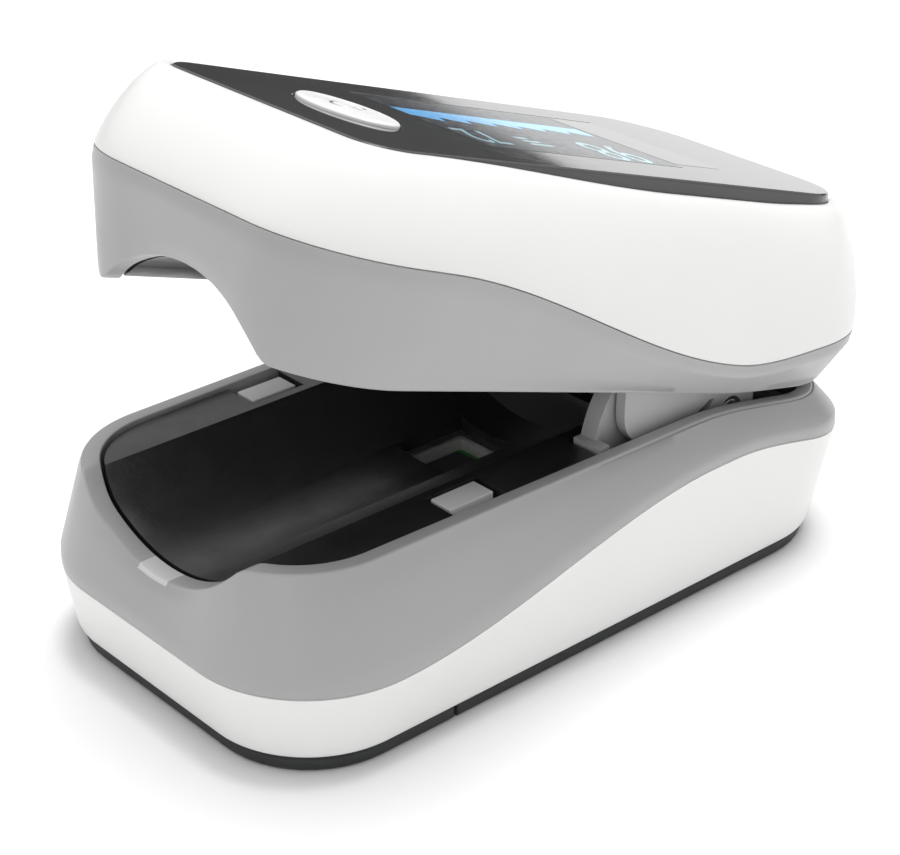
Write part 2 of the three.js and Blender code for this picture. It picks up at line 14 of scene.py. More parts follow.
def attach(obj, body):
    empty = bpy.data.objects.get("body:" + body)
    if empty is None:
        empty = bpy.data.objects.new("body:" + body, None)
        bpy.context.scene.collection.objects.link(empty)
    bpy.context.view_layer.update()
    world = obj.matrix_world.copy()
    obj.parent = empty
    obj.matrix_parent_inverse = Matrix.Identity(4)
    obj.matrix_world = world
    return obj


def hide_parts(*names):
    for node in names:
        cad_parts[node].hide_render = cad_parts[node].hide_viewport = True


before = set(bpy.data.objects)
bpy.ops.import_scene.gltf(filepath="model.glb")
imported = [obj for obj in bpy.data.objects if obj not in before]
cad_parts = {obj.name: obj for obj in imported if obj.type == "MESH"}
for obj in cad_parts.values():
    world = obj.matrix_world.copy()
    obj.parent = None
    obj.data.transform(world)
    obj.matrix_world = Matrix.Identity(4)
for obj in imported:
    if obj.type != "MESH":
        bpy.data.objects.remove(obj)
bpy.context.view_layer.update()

# ------------------------------------------------------------------ driving dimensions, mm

GAP = 0.3
CENTRE_Y = 1.31
HINGE_Y = 16.3
HINGE_Z = 13.66
OPEN_ANGLE = math.radians(18.3)

WAIST = dict(half=17, front=-30.05, rear=30.1, front_corner=9.85, rear_corner=9)
LOWER_WAIST = dict(WAIST, rear=30.35, rear_corner=8.4)
FOOT = dict(half=16.05, front=-29.1, rear=29.75, front_corner=8.4, rear_corner=9.3)
RIM_OUTER = dict(
    half=14.8, front=-28.6, rear=29.2, front_corner=8.3, rear_corner=8.2, flare=0.0012
)
RIM_INNER = dict(
    half=13.66, front=-27.05, rear=27.8, front_corner=6.9, rear_corner=6.8, flare=0.0017
)
RIM_FOOT_INNER = dict(
    half=14.2, front=-27.4, rear=28.1, front_corner=6.9, rear_corner=6.8, flare=0.0017
)
CROWN = dict(half=12.95, front=-25.85, rear=27.65, front_corner=3.95, rear_corner=7.05)
PANEL = dict(half=12.2, front=-25.1, rear=26.9, front_corner=3.2, rear_corner=6.3)
DOME_POWER = 1.4
BAY_OPENING = dict(half=12, front=-21.5, rear=21.5, front_corner=2, rear_corner=2)
SHELL_WALL = 1.5

FOOT_Z = 1.5
LOWER_RIM_Z = 15.24
UPPER_RIM_Z = LOWER_RIM_Z + GAP
PANEL_TOP_Z = 30.9
PANEL_THICKNESS = 1.3
SEAM = 0.04

FINGER_RADIUS = 12.5
TROUGH_BOTTOM_Z = 10.9
ARCH_TOP_Z = 19.5
BUTTON_Y = -17.4
BUTTON_HALF = (4.76, 2.63)
BUTTON_TOP_Z = PANEL_TOP_Z + 0.4
BUTTON_FLANGE = 0.4

# ------------------------------------------------------------------ placing

MM = 0.001
LOWER = Matrix.Scale(MM, 4) @ Matrix.Translation((0, -CENTRE_Y, 0))
UPPER = (
    LOWER
    @ Matrix.Translation((0, HINGE_Y, HINGE_Z))
    @ Matrix.Rotation(-OPEN_ANGLE, 4, "X")
    @ Matrix.Translation((0, -HINGE_Y, -HINGE_Z))
)
PLACES = {"lower_jaw": LOWER, "door": LOWER, "upper_jaw": UPPER, "button": UPPER}

# ------------------------------------------------------------------ small helpers


def mix(a, b, f):
    return a + (b - a) * f


def smooth_step(a, b, value):
    f = min(1, max(0, (value - a) / (b - a)))
    return f * f * (3 - 2 * f)


def soft_min(a, b, blend):
    h = min(1, max(0, 0.5 + (b - a) / (2 * blend)))
    return mix(b, a, h) - blend * h * (1 - h)


def soft_max(a, b, blend):
    return -soft_min(-a, -b, blend)


def lower_split(x, y):
    return 6.95 + 5.15 * smooth_step(-20, 11, y) - 2.6 * smooth_step(13, 30, y)


def upper_split(x, y):
    return 24.5 - 5.9 * smooth_step(-23, 12, y) + 3 * smooth_step(11.5, 29.3, y)


def circle_drop(x):
    return FINGER_RADIUS - math.sqrt(max(0, FINGER_RADIUS**2 - x * x))


def lower_rim_top(x, y):
    level_z = LOWER_RIM_Z - 0.2 * soft_max(0, y - 13.2, 3)
    return soft_min(level_z, TROUGH_BOTTOM_Z + circle_drop(x), 0.5) if y < 0 else level_z


def upper_rim_bottom(x, y):
    level_z = UPPER_RIM_Z + 0.09 * soft_max(0, y - 14.5, 3)
    return soft_max(level_z, ARCH_TOP_Z - circle_drop(x), 0.5) if y < 0 else level_z


# ------------------------------------------------------------------ outlines and ring bodies

STEPS = dict(front=26, corner=26, side=64, rear=12)


def outline_points(half, front, rear, front_corner, rear_corner, flare=0):
    """Points of an outline, anticlockwise from the middle of the front edge."""
    right = [((half - front_corner) * i / STEPS["front"], front) for i in range(STEPS["front"])]
    for i in range(STEPS["corner"] + 1):
        turn = math.pi / 2 * i / STEPS["corner"]
        x = half - front_corner * (1 - math.sin(turn))
        right.append((x, front + front_corner * (1 - math.cos(turn))))
    for i in range(1, STEPS["side"]):
        right.append((half, mix(front + front_corner, rear - rear_corner, i / STEPS["side"])))
    for i in range(STEPS["corner"] + 1):
        turn = math.pi / 2 * i / STEPS["corner"]
        x = half - rear_corner * (1 - math.cos(turn))
        right.append((x, rear - rear_corner * (1 - math.sin(turn))))
    for i in range(1, STEPS["rear"] + 1):
        right.append(((half - rear_corner) * (1 - i / STEPS["rear"]), rear))
    right = [(x * (1 + flare * y), y) for x, y in right]
    return right + [(-x, y) for x, y in reversed(right[1:-1])]


def inset(outline, by):
    """The same outline, smaller by a distance all round."""
    return dict(
        outline,
        half=outline["half"] - by,
        front=outline["front"] + by,
        rear=outline["rear"] - by,
        front_corner=max(0.5, outline["front_corner"] - by),
        rear_corner=max(0.5, outline["rear_corner"] - by),
    )


def level(outline, height):
    """An outline lifted to a height, or to a height that varies with x and y."""
    height_at = height if callable(height) else lambda x, y: height
    return [Vector((x, y, height_at(x, y))) for x, y in outline_points(**outline)]


def between(a, b, f):
    return [p.lerp(q, f) for p, q in zip(a, b)]


def lifted(loop, by):
    return [p + Vector((0, 0, by)) for p in loop]


def ring_faces(loops, around):
    """Faces of a body whose cross-section runs through the loops and back to the first."""
    faces = []
    for j in range(loops):
        following = (j + 1) % loops
        for i in range(around):
            after = (i + 1) % around
            a, b = j * around + i, j * around + after
            c, d = following * around + after, following * around + i
            faces.append((a, b, c, d))
    return faces


# ------------------------------------------------------------------ making pieces


def smooth_by_angle(mesh, degrees):
    mesh.polygons.foreach_set("use_smooth", [True] * len(mesh.polygons))
    mesh.set_sharp_from_angle(angle=math.radians(degrees))


def add_piece(name, mesh, body, material, replaces=(), degrees=35):
    """Shows a mesh that is already in the row frame as one piece of the object."""
    smooth_by_angle(mesh, degrees)
    mesh.materials.clear()
    mesh.materials.append(material)
    piece = bpy.data.objects.new(name, mesh)
    bpy.context.scene.collection.objects.link(piece)
    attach(piece, body)
    if replaces:
        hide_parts(*replaces)
    return piece


def mesh_from(name, points, faces, place):
    """A mesh of points drawn in millimetres, placed in the row frame with its faces outward."""
    mesh = bpy.data.meshes.new(name)
    mesh.from_pydata([place @ Vector(p) for p in points], [], faces)
    work = bmesh.new()
    work.from_mesh(mesh)
    bmesh.ops.remove_doubles(work, verts=work.verts, dist=1e-8)
    bmesh.ops.recalc_face_normals(work, faces=work.faces)
    work.to_mesh(mesh)
    work.free()
    return mesh


def ring_piece(name, loops, body, material, replaces, degrees=35):
    points = [p for loop in loops for p in loop]
    mesh = mesh_from(name, points, ring_faces(len(loops), len(loops[0])), PLACES[body])
    return add_piece(name, mesh, body, material, replaces, degrees)


def refined(node, body, material, bevel=0.12, degrees=35, flat_limit=0.5):
    """A finished version of a CAD node: facets joined and its edges rounded over."""
    work = bmesh.new()
    work.from_mesh(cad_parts[node].data)
    bmesh.ops.remove_doubles(work, verts=work.verts, dist=2e-6)
    bmesh.ops.dissolve_limit(
        work, angle_limit=math.radians(flat_limit), verts=work.verts, edges=work.edges
    )
    if bevel:
        sharp = [
            e for e in work.edges
            if len(e.link_faces) == 2 and e.calc_face_angle(0) > math.radians(degrees)
        ]
        bmesh.ops.bevel(
            work, geom=sharp, offset=bevel * MM, segments=3, profile=0.5, affect="EDGES",
            clamp_overlap=True,
        )
    mesh = bpy.data.meshes.new(node + "_finished")
    work.to_mesh(mesh)
    work.free()
    return add_piece(node + "_finished", mesh, body, material, [node], degrees)


# ------------------------------------------------------------------ materials


class Nodes:
    """Short calls for building one node tree."""

    def __init__(self, name):
        self.material = bpy.data.materials.new(name)
        self.material.use_nodes = True
        self.tree = self.material.node_tree
        self.shader = self.tree.nodes["Principled BSDF"]
        coordinates = self.tree.nodes.new("ShaderNodeTexCoord")
        self.where = coordinates.outputs["Object"]

    def link(self, a, b):
        self.tree.links.new(a, b)

    def stretched(self, x, y, z):
        mapping = self.tree.nodes.new("ShaderNodeMapping")
        mapping.inputs["Scale"].default_value = (x, y, z)
        self.link(self.where, mapping.inputs["Vector"])
        return mapping.outputs["Vector"]

    def noise(self, size_mm, detail=3, roughness=0.5, where=None):
        node = self.tree.nodes.new("ShaderNodeTexNoise")
        node.inputs["Scale"].default_value = 1000 / size_mm
        node.inputs["Detail"].default_value = detail
        node.inputs["Roughness"].default_value = roughness
        self.link(where or self.where, node.inputs["Vector"])
        return node.outputs["Fac"]

    def cells(self, size_mm, output="Distance"):
        node = self.tree.nodes.new("ShaderNodeTexVoronoi")
        node.inputs["Scale"].default_value = 1000 / size_mm
        self.link(self.where, node.inputs["Vector"])
        return node.outputs[output]

    def to_range(self, value, low, high, start=0.3, end=0.7):
        node = self.tree.nodes.new("ShaderNodeMapRange")
        node.inputs["From Min"].default_value = start
        node.inputs["From Max"].default_value = end
        node.inputs["To Min"].default_value = low
        node.inputs["To Max"].default_value = high
        self.link(value, node.inputs["Value"])
        return node.outputs["Result"]

    def blend(self, factor, a, b):
        node = self.tree.nodes.new("ShaderNodeMix")
        node.data_type = "RGBA"
        self.link(factor, node.inputs["Factor"])
        for socket, colour in ((node.inputs["A"], a), (node.inputs["B"], b)):
            if isinstance(colour, tuple):
                socket.default_value = (*colour, 1)
            else:
                self.link(colour, socket)
        return node.outputs["Result"]

    def bump(self, height, depth_mm, strength=1, under=None):
        node = self.tree.nodes.new("ShaderNodeBump")
        node.inputs["Strength"].default_value = strength
        node.inputs["Distance"].default_value = depth_mm * MM
        self.link(height, node.inputs["Height"])
        if under:
            self.link(under, node.inputs["Normal"])
        return node.outputs["Normal"]

    def set(self, **values):
        for name, value in values.items():
            socket = self.shader.inputs[name.replace("_", " ")]
            if isinstance(value, tuple):
                value = (*value, 1)
            socket.default_value = value

    def use(self, name, output):
        self.link(output, self.shader.inputs[name])


GRAIN_MM = 0.22


def moulded_plastic(name, colour, roughness, shade=0.96, grain_depth=0.004, worn=1.05):
    """Moulded plastic: faint blotches, a fine grain, rubbed patches and lighter worn edges."""
    n = Nodes(name)
    darker = tuple(c * shade for c in colour)
    blotches = n.to_range(n.noise(9, detail=4), 0, 1)
    body_colour = n.blend(blotches, darker, colour)
    edges = n.tree.nodes.new("ShaderNodeNewGeometry").outputs["Pointiness"]
    edge_amount = n.to_range(edges, 0, 0.5, 0.53, 0.6)
    lighter = tuple(min(1, c * worn) for c in colour)
    n.use("Base Color", n.blend(edge_amount, body_colour, lighter))
    rubbed = n.noise(3.5, detail=5, roughness=0.65)
    n.use("Roughness", n.to_range(rubbed, roughness - 0.05, roughness + 0.06))
    waves = n.bump(n.noise(6, detail=1), 0.02, 0.25)
    n.use("Normal", n.bump(n.noise(GRAIN_MM, detail=2), grain_depth, 0.6, under=waves))
    return n.material


def make_button_plastic():
    """Satin white cap; the groove of the engraved symbol is darkened with painted shade."""
    n = Nodes("button_plastic")
    groove_shade = n.tree.nodes.new("ShaderNodeAttribute")
    groove_shade.attribute_name = "engraved"
    blotches = n.to_range(n.noise(5, detail=4), 0, 1)
    white = n.blend(blotches, (0.82, 0.82, 0.82), (0.85, 0.85, 0.85))
    # Dark grey where the symbol is engraved: painted shade in the groove.
    n.use("Base Color", n.blend(groove_shade.outputs["Fac"], white, (0.16, 0.16, 0.165)))
    n.use("Roughness", n.to_range(n.noise(2.5, detail=5), 0.24, 0.36))
    n.use("Normal", n.bump(n.noise(0.2, detail=2), 0.002, 0.4))
    return n.material


def make_silicone():
    """Black silicone: a satin, finely pebbled skin with a little dust in it."""
    n = Nodes("silicone_skin")
    dust = n.to_range(n.noise(0.9, detail=6, roughness=0.7), 0, 1, 0.45, 0.8)
    n.use("Base Color", n.blend(dust, (0.010, 0.010, 0.0105), (0.017, 0.017, 0.0175)))
    n.use("Roughness", n.to_range(n.noise(2.5, detail=4), 0.30, 0.40))
    n.set(Specular_IOR_Level=1.0)
    pebbles = n.bump(n.cells(0.32), 0.02, 0.35)
    n.use("Normal", n.bump(n.noise(0.12, detail=2), 0.006, 0.4, under=pebbles))
    return n.material


def make_panel(name, dark, light):
    """Smoked acrylic: dark and polished, with hairline scratches and a slight orange peel."""
    n = Nodes(name)
    cloud = n.to_range(n.noise(14, detail=3), 0, 1)
    n.use("Base Color", n.blend(cloud, dark, light))
    hairlines = n.noise(0.5, detail=5, roughness=0.7, where=n.stretched(1, 0.04, 1))
    n.use("Roughness", n.to_range(hairlines, 0.03, 0.07, 0.35, 0.75))
    n.set(IOR=1.49, Specular_IOR_Level=0.32)
    n.use("Normal", n.bump(n.noise(7, detail=1), 0.001, 0.1))
    return n.material


def make_screen(name, deep, bright, strength=1.0):
    """A lit part of the display: a glow that varies along the screen, over a fine pixel grid."""
    n = Nodes(name)
    along = n.tree.nodes.new("ShaderNodeSeparateXYZ")
    n.link(n.where, along.inputs["Vector"])
    position = n.to_range(along.outputs["Y"], 0, 1, -0.012, 0.008)
    glow = n.blend(position, deep, bright)
    pixels = n.to_range(n.cells(0.26), 0, 0.25, 0.1, 0.6)
    n.use("Base Color", n.blend(pixels, (0.02, 0.025, 0.03), (0.01, 0.012, 0.015)))
    n.use("Emission Color", n.blend(pixels, glow, (0.0, 0.0, 0.0)))
    n.use("Roughness", n.to_range(n.noise(0.6, detail=4), 0.05, 0.10))
    n.set(IOR=1.49, Emission_Strength=strength, Specular_IOR_Level=0.1)
    return n.material


def make_steel():
    """Drawn spring steel, with faint lines along the wire."""
    n = Nodes("spring_steel")
    drawn = n.noise(0.4, detail=4, where=n.stretched(0.1, 1, 1))
    n.use("Base Color", n.blend(n.to_range(drawn, 0, 1), (0.42, 0.42, 0.43), (0.60, 0.60, 0.61)))
    n.use("Roughness", n.to_range(n.noise(0.8, detail=5), 0.22, 0.4))
    n.set(Metallic=1.0)
    n.use("Normal", n.bump(drawn, 0.004, 0.4))
    return n.material


def make_board():
    """Green circuit board: solder mask over faint copper tracks."""
    n = Nodes("solder_mask")
    bricks = n.tree.nodes.new("ShaderNodeTexBrick")
    bricks.inputs["Scale"].default_value = 900
    bricks.inputs["Color1"].default_value = (0, 0, 0, 1)
    bricks.inputs["Color2"].default_value = (0.4, 0.4, 0.4, 1)
    bricks.inputs["Mortar"].default_value = (1, 1, 1, 1)
    bricks.inputs["Mortar Size"].default_value = 0.06
    n.link(n.where, bricks.inputs["Vector"])
    tracks = n.to_range(bricks.outputs["Color"], 0, 1, 0, 1)
    n.use("Base Color", n.blend(tracks, (0.006, 0.26, 0.015), (0.02, 0.38, 0.03)))
    n.use("Roughness", n.to_range(n.noise(1.5, detail=3), 0.3, 0.45))
    n.use("Normal", n.bump(tracks, 0.02, 0.5))
    return n.material


def make_clear():
    """Clear moulded window over the optics."""
    n = Nodes("clear_moulding")
    haze = n.to_range(n.noise(1.2, detail=4), 0, 1)
    n.use("Base Color", n.blend(haze, (0.10, 0.10, 0.105), (0.16, 0.16, 0.165)))
    n.use("Roughness", n.to_range(n.noise(0.7, detail=4), 0.12, 0.25))
    n.set(Alpha=0.12)
    n.use("Normal", n.bump(n.noise(1.5, detail=1), 0.01, 0.2))
    return n.material


def make_foil():
    """Wrap of the battery cell: brushed metal foil with small creases."""
    n = Nodes("cell_wrap")
    brushed = n.noise(0.5, detail=4, where=n.stretched(1, 0.06, 1))
    n.use("Base Color", n.blend(n.to_range(brushed, 0, 1), (0.28, 0.31, 0.35), (0.42, 0.45, 0.49)))
    n.use("Roughness", n.to_range(n.noise(1.5, detail=4), 0.28, 0.42))
    n.set(Metallic=0.8)
    n.use("Normal", n.bump(n.noise(2.5, detail=3, roughness=0.6), 0.08, 0.5))
    return n.material


WHITE = moulded_plastic("white_plastic", (0.86, 0.86, 0.85), 0.34, shade=0.985, grain_depth=0.003)
INSERT_GREY = moulded_plastic("insert_plastic", (0.68, 0.68, 0.68), 0.4, shade=0.97)
GREY = moulded_plastic("grey_plastic", (0.41, 0.41, 0.41), 0.33, shade=0.965)
LIGHT_GREY = moulded_plastic("light_grey_plastic", (0.72, 0.72, 0.72), 0.42, shade=0.96)
BRACKET_GREY = moulded_plastic("bracket_plastic", (0.42, 0.42, 0.42), 0.5, shade=0.96)
DARK = moulded_plastic(
    "dark_plastic", (0.022, 0.023, 0.025), 0.5, shade=0.85, worn=1.6, grain_depth=0.008
)
BUTTON_WHITE = make_button_plastic()
CHIP = moulded_plastic("chip_resin", (0.02, 0.02, 0.026), 0.32, shade=0.8, worn=1.3)
BLACK_GLASS = moulded_plastic(
    "display_body", (0.010, 0.013, 0.017), 0.16, shade=0.8, grain_depth=0.0005
)
SILICONE = make_silicone()
SMOKED = make_panel("smoked_acrylic", (0.070, 0.071, 0.073), (0.082, 0.083, 0.085))
PANEL_LIGHTER = make_panel("smoked_acrylic_rear", (0.125, 0.126, 0.128), (0.14, 0.141, 0.143))
# Light grey line on the panel: a painted highlight for the reflection along the far edge of the
# display's recess.
PAINTED_EDGE_HIGHLIGHT = make_panel("window_edge_painted_highlight", (0.22, 0.22, 0.22), (0.28, 0.28, 0.28))
BOARD = make_board()
STEEL = make_steel()
CLEAR = make_clear()
FOIL = make_foil()
SCREEN_OFF = make_screen("screen_ground", (0.015, 0.016, 0.02), (0.05, 0.05, 0.055))
SCREEN_BLUE = make_screen("screen_blue", (0.03, 0.25, 0.62), (0.22, 0.50, 0.76), 1.3)
SCREEN_PALE = make_screen("screen_pale", (0.26, 0.44, 0.52), (0.36, 0.56, 0.60))

# ------------------------------------------------------------------ covers, rims and insert


def lower_cover_loops():
    def top(x, y):
        return lower_split(x, y) - GAP / 2

    foot = level(FOOT, FOOT_Z + 0.3)
    waist = level(LOWER_WAIST, top)
    loops = [level(inset(FOOT, 0.3), FOOT_Z), level(inset(FOOT, 0.09), FOOT_Z + 0.09), foot]
    loops += [between(foot, waist, f) for f in (0.25, 0.5, 0.75, 0.97)]
    loops += [
        lifted(level(inset(LOWER_WAIST, 0.02), top), -0.05),
        level(inset(LOWER_WAIST, 0.09), top),
        level(inset(LOWER_WAIST, SHELL_WALL), top),
        level(inset(FOOT, SHELL_WALL), FOOT_Z + 1.3),
        level(BAY_OPENING, FOOT_Z + 1.3),
        level(BAY_OPENING, FOOT_Z),
    ]
    return loops


def rounded_corner(outer, inner, radius, up):
    """Loops that round over the corner of a wall, from its outer face to its end face."""
    loops = []
    for i in range(5):
        turn = math.pi / 2 * i / 4
        inward = radius * (1 - math.cos(turn))
        below = radius * (1 - math.sin(turn))
        loops.append([
            p + (q - p).normalized() * inward - Vector((0, 0, up * below))
            for p, q in zip(outer, inner)
        ])
    return loops


def rim_loops(head, edge, head_inner, edge_inner, up):
    """A grey rim: upright beside the seam, then leaning in to the mating edge."""
    band = 0.8
    upright = [p + (q - p) * 0.02 + Vector((0, 0, up * band)) for p, q in zip(head, edge)]
    curve = [
        (p + (q - p) * 0.03 + Vector((0, 0, up * band))).lerp(q, 0.09) for p, q in zip(head, edge)
    ]
    seam = [p + (q - p).normalized() * 0.09 for p, q in zip(head, head_inner)]
    loops = [seam, lifted(head, up * 0.06), between(lifted(head, up * 0.06), upright, 0.5), upright]
    loops += [between(curve, edge, f) for f in (0, 0.3, 0.6, 0.9)]
    loops += rounded_corner(edge, edge_inner, 0.22, up)
    loops += reversed(rounded_corner(edge_inner, edge, 0.12, up))
    loops.append(head_inner)
    return loops


def lower_rim_loops():
    def foot_z(x, y):
        return lower_split(x, y) - GAP / 2 + SEAM

    return rim_loops(
        level(LOWER_WAIST, foot_z),
        level(RIM_OUTER, lower_rim_top),
        level(RIM_FOOT_INNER, foot_z),
        level(RIM_INNER, lower_rim_top),
        1,
    )


def upper_rim_loops():
    def head_z(x, y):
        return upper_split(x, y) - GAP / 2

    return rim_loops(
        level(WAIST, head_z),
        level(RIM_OUTER, upper_rim_bottom),
        level(RIM_FOOT_INNER, head_z),
        level(RIM_INNER, upper_rim_bottom),
        -1,
    )


def upper_cover_loops():
    def lip_top(x, y):
        dip = smooth_step(-22, 4, y) * (1 - 0.45 * smooth_step(14, 27, y))
        return PANEL_TOP_Z - 0.08 - 0.95 * dip

    def foot_z(x, y):
        return upper_split(x, y) - GAP / 2 + SEAM

    ledge = PANEL_TOP_Z - PANEL_THICKNESS - GAP
    foot = level(WAIST, foot_z)
    top = level(CROWN, lip_top)
    recess = inset(CROWN, CROWN["half"] - PANEL["half"] - 0.08)
    opening = dict(half=10.8, front=-22.9, rear=24, front_corner=3, rear_corner=5)
    under_ledge = dict(half=13.2, front=-23.6, rear=26, front_corner=5, rear_corner=7)
    loops = [level(inset(WAIST, 0.09), foot_z), lifted(level(inset(WAIST, 0.02), foot_z), 0.05)]
    steps = 20
    for i in range(1, steps + 1):
        turn = math.pi / 2 * i / steps
        inward = 1 - max(0, math.cos(turn)) ** (2 / DOME_POWER)
        upward = math.sin(turn) ** (2 / DOME_POWER)
        loops.append([
            Vector((mix(p.x, q.x, inward), mix(p.y, q.y, inward), mix(p.z, q.z, upward)))
            for p, q in zip(foot, top)
        ])
    loops += [
        level(inset(recess, -0.12), lip_top),
        lifted(level(recess, lip_top), -0.1),
        level(recess, ledge),
        level(opening, ledge),
        level(opening, ledge - 1.1),
        level(under_ledge, ledge - 1.1),
        level(inset(WAIST, SHELL_WALL), foot_z),
    ]
    return loops


def lip_insert():
    """The light insert in the middle of the front lip: a thin skin that follows the lip."""
    half = 1.9
    loops = [loop[:9] + loop[-8:] for loop in lower_rim_loops()[7:17]]
    rows = []
    for loop in loops:
        row = sorted((p for p in loop if abs(p.x) < half), key=lambda p: p.x)
        rows.append(row)
    wide = len(rows[0])
    points = [p + Vector((0, -0.01, 0.02)) for row in rows for p in row]
    points += [p + Vector((0, 0.03, -0.25)) for row in rows for p in row]
    below = len(rows) * wide
    faces = []
    for j in range(len(rows) - 1):
        for i in range(wide - 1):
            a, b = j * wide + i, j * wide + i + 1
            faces.append((a, b, b + wide, a + wide))
            faces.append((a + below, a + wide + below, b + wide + below, b + below))
    border = list(range(wide))
    border += [j * wide + wide - 1 for j in range(1, len(rows))]
    border += [(len(rows) - 1) * wide + i for i in range(wide - 2, -1, -1)]
    border += [j * wide for j in range(len(rows) - 2, 0, -1)]
    for a, b in zip(border, border[1:] + border[:1]):
        faces.append((a, b, b + below, a + below))
    mesh = mesh_from("lip_insert", points, faces, LOWER)
    add_piece("lip_insert", mesh, "lower_jaw", INSERT_GREY, ["front_insert"])


for name, loops, body, slot, material, node in (
    ("lower_shell", lower_cover_loops(), "lower_jaw", "white_shell", WHITE, "lower_cover"),
    ("lower_band", lower_rim_loops(), "lower_jaw", "grey_rim", GREY, "lower_rim"),
    ("upper_shell", upper_cover_loops(), "upper_jaw", "white_shell", WHITE, "upper_cover"),
    ("upper_band", upper_rim_loops(), "upper_jaw", "grey_rim", GREY, "upper_rim"),
):
    ring_piece(name, loops, body, material, [node], 50)
lip_insert()

# ------------------------------------------------------------------ pieces finished from the CAD

refined("base_plate", "lower_jaw", DARK, 0.08)
refined("battery_door", "door", DARK, 0.08)
refined("chassis", "lower_jaw", LIGHT_GREY, 0.12)
refined("battery_cell", "lower_jaw", FOIL, 0)
refined("lower_pad", "lower_jaw", SILICONE, 0.12, 28)
refined("upper_pad", "upper_jaw", SILICONE, 0.12, 28)
refined("sensor_window", "lower_jaw", CLEAR, 0)
refined("photodiode", "lower_jaw", CHIP, 0)
refined("sensor_board", "lower_jaw", BOARD, 0)
refined("lower_bracket", "lower_jaw", BRACKET_GREY, 0.15)
refined("upper_bracket", "upper_jaw", BRACKET_GREY, 0)
refined("hinge_pin", "lower_jaw", STEEL, 0.1)
refined("spring_left", "lower_jaw", STEEL, 0, 60)
refined("spring_right", "lower_jaw", STEEL, 0, 60)
refined("led_window", "upper_jaw", CLEAR, 0)
refined("led_emitter", "upper_jaw", BOARD, 0.05)
refined("main_board", "upper_jaw", BOARD, 0.05)
refined("display_module", "upper_jaw", BLACK_GLASS, 0.05)
refined("tact_switch", "upper_jaw", STEEL, 0.08)

# ------------------------------------------------------------------ panel


def flat_fill(outer, hole, z, faces, points, flip):
    """Fills the flat area between an outline and a hole, or a whole outline."""
    rings = [[Vector((x, y, 0)) for x, y in outer]]
    if hole:
        rings.append([Vector((x, y, 0)) for x, y in hole])
    start = len(points)
    points += [(p.x, p.y, z) for ring in rings for p in ring]
    for triangle in tessellate_polygon(rings):
        corners = [start + i for i in triangle]
        faces.append(tuple(reversed(corners)) if flip else tuple(corners))


def oval(half_x, half_y, centre_y, count=96):
    turns = [2 * math.pi * i / count for i in range(count)]
    return [(half_x * math.cos(t), centre_y + half_y * math.sin(t)) for t in turns]


def wall(loops, points, faces):
    """Quads between neighbouring loops of the same length."""
    start, around = len(points), len(loops[0])
    points += [tuple(p) for loop in loops for p in loop]
    for j in range(len(loops) - 1):
        for i in range(around):
            a, b = start + j * around + i, start + j * around + (i + 1) % around
            faces.append((a, b, b + around, a + around))


def make_panel_piece():
    """The smoked panel: rounded top edge, straight side, and an oval hole for the button."""
    points, faces = [], []
    rounding = 0.22
    bottom, top = PANEL_TOP_Z - PANEL_THICKNESS, PANEL_TOP_Z
    loops = [level(PANEL, bottom)]
    for i in range(6):
        turn = math.pi / 2 * i / 5
        by = rounding * (1 - math.cos(turn))
        loops.append(level(inset(PANEL, by), top - rounding * (1 - math.sin(turn))))
    flat_edge = inset(PANEL, rounding + 0.06)
    loops.append(level(flat_edge, top))
    wall(loops, points, faces)
    clearance = 0.14
    hole = oval(BUTTON_HALF[0] + clearance, BUTTON_HALF[1] + clearance, BUTTON_Y)
    lip = oval(BUTTON_HALF[0] + clearance + 0.1, BUTTON_HALF[1] + clearance + 0.1, BUTTON_Y)
    wall(
        [
            [(x, y, top) for x, y in lip],
            [(x, y, top - 0.1) for x, y in hole],
            [(x, y, bottom) for x, y in hole],
        ],
        points, faces,
    )
    flat_fill(outline_points(**flat_edge), lip, top, faces, points, False)
    flat_fill(outline_points(**PANEL), hole, bottom, faces, points, True)
    mesh = mesh_from("front_panel", points, faces, UPPER)
    add_piece("front_panel", mesh, "upper_jaw", SMOKED, ["top_panel"], 25)


def film(name, outlines, layer, material):
    """Printed or lit areas of the display, and one painted highlight line, as films a few
    hundredths of a millimetre thick.
    """
    points, faces = [], []
    low = PANEL_TOP_Z + 0.004 * layer - 0.02
    high = PANEL_TOP_Z + 0.012 + 0.006 * layer
    for outline in outlines:
        flat_fill(outline, None, high, faces, points, False)
        flat_fill(outline, None, low, faces, points, True)
        edges = [[(x, y, z) for x, y in outline] for z in (low, high)]
        wall(edges, points, faces)
    mesh = mesh_from(name, points, faces, UPPER)
    add_piece(name, mesh, "upper_jaw", material)


def rectangle(x0, x1, y0, y1, radius=0.3):
    """A rectangle with rounded corners, anticlockwise."""
    corners = [(x1, y0, -90), (x1, y1, 0), (x0, y1, 90), (x0, y0, 180)]
    outline = []
    for x, y, start in corners:
        cx = x - radius if x == x1 else x + radius
        cy = y - radius if y == y1 else y + radius
        for i in range(5):
            turn = math.radians(start + 22.5 * i)
            outline.append((cx + radius * math.cos(turn), cy + radius * math.sin(turn)))
    return outline


def pulse_wave():
    """The filled pulse wave: one outline whose edge rises and drops seven times."""
    start_y, end_y, base_x = 10.0, -10.0, -3.8
    beats, samples = 7, 14
    edge = []
    for i in range(beats * samples + 1):
        along = i / samples
        beat = along % 1
        height = 0.25 + 0.75 * (1 - beat) ** 1.3 if beat > 0.12 else 0.25 + 0.68 * beat / 0.12
        swell = 2.6 + 1.3 * i / (beats * samples)
        y = mix(start_y, end_y, i / (beats * samples))
        edge.append((base_x + swell * (0.45 + 0.55 * height), y))
    return [(base_x, start_y)] + edge + [(base_x, end_y)]


# The height of a digit as a share of the font size.
DIGIT_HEIGHT_SHARE = 0.7


